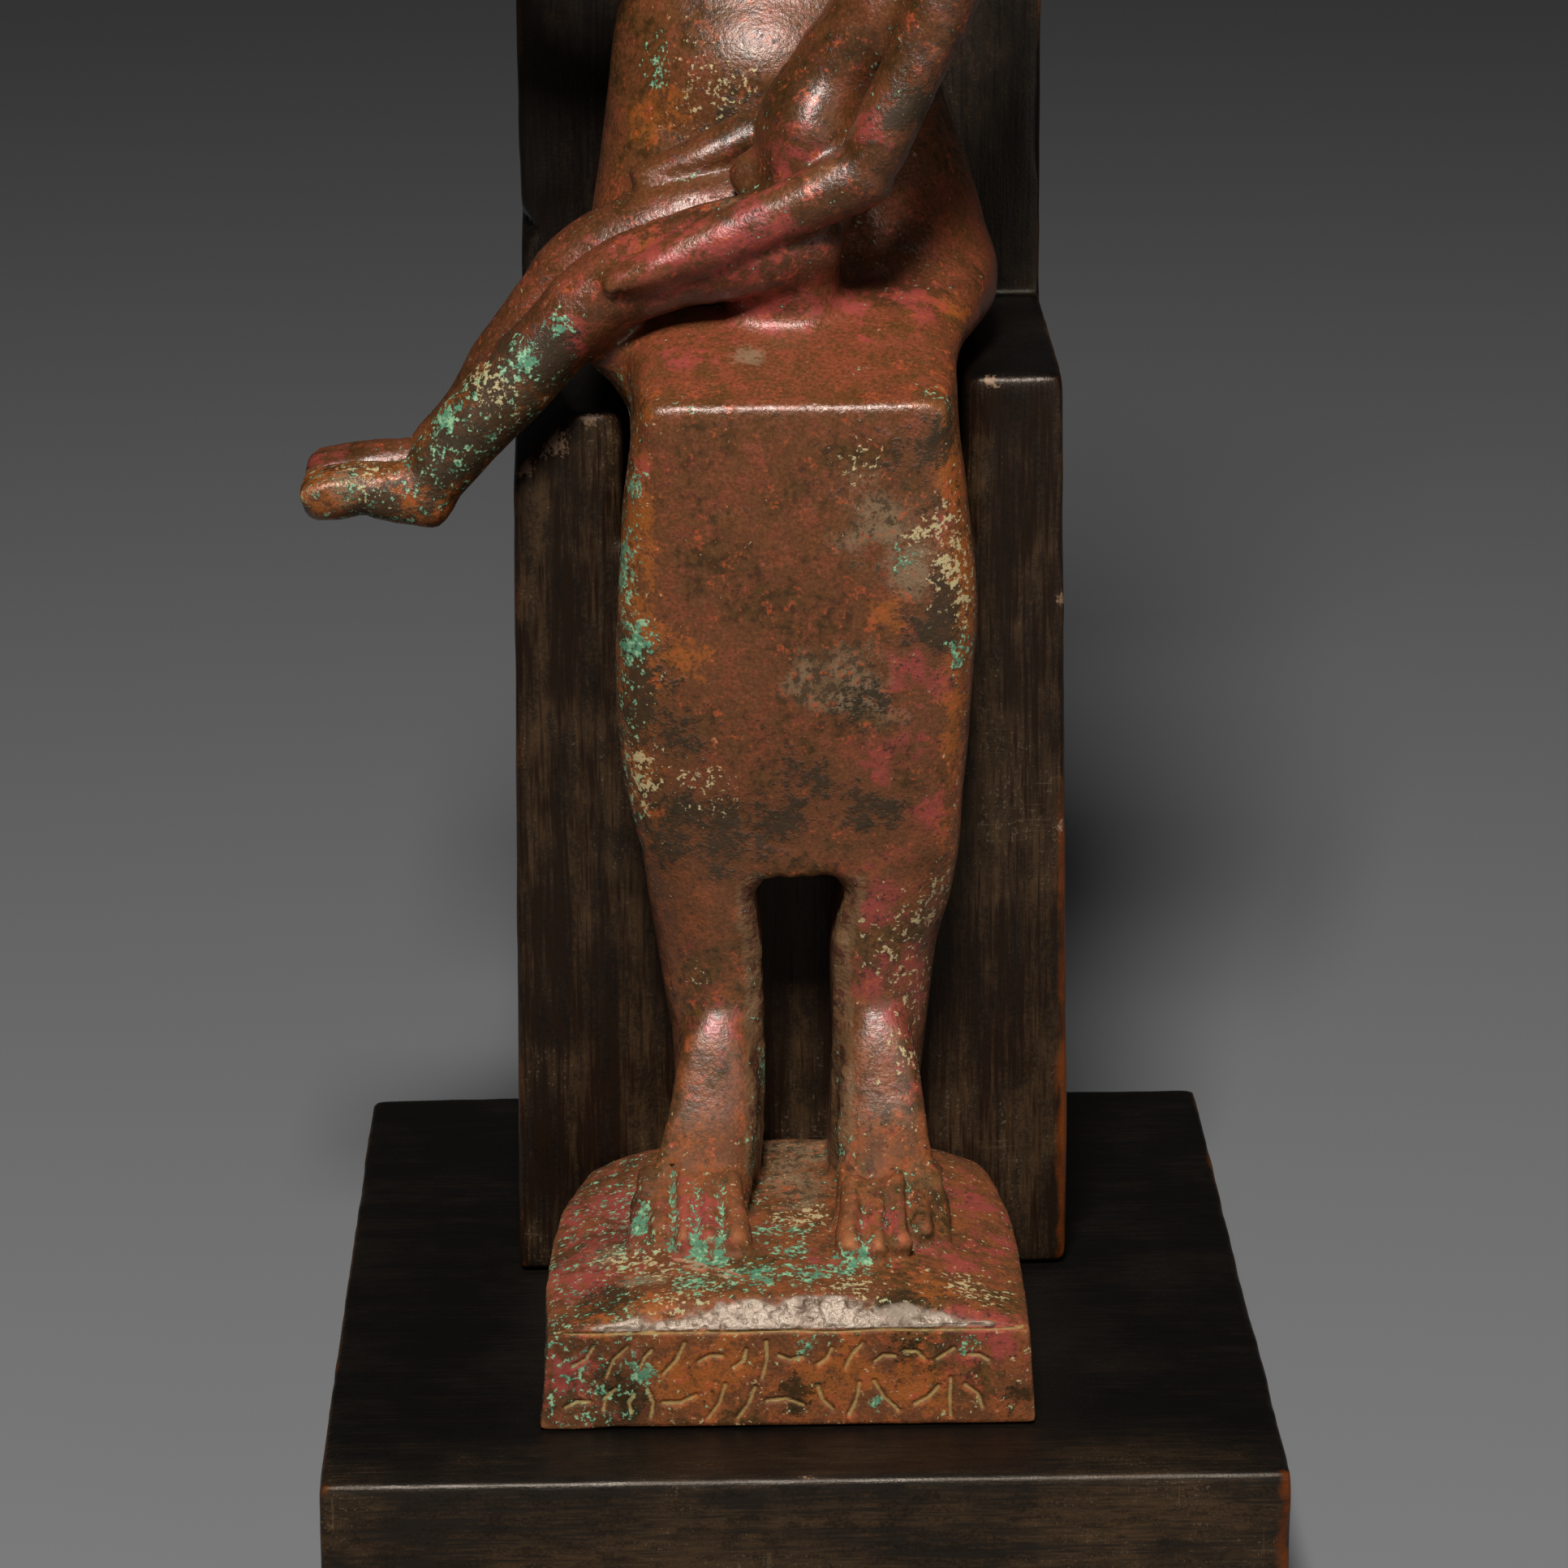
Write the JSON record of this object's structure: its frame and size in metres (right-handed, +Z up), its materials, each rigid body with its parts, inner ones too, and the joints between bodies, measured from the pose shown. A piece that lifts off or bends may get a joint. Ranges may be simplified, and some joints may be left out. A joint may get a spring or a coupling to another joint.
{
  "type": "isis and harpocrates statuette",
  "caption": "Seated goddess nursing a child across her lap, cast in bronze with her footrest, set in the notched seat of a high-backed wooden throne on a wooden base.",
  "frame": {"origin": "centre of the wooden base's flat underside", "axes": "+Z up, -Y the way the goddess faces, +X to the viewer's right"},
  "size_m": [0.0798, 0.0896, 0.2557],
  "materials": {
    "bronze": "old cast bronze, satin, with red-brown, olive and green patina",
    "ebonised_wood": "satin, stained near black, rubbed to red-brown along the edges"
  },
  "bodies": {
    "root": {"base": "ebonised_wood", "throne": "ebonised_wood", "isis_and_child": "bronze"}
  },
  "joints": []
}
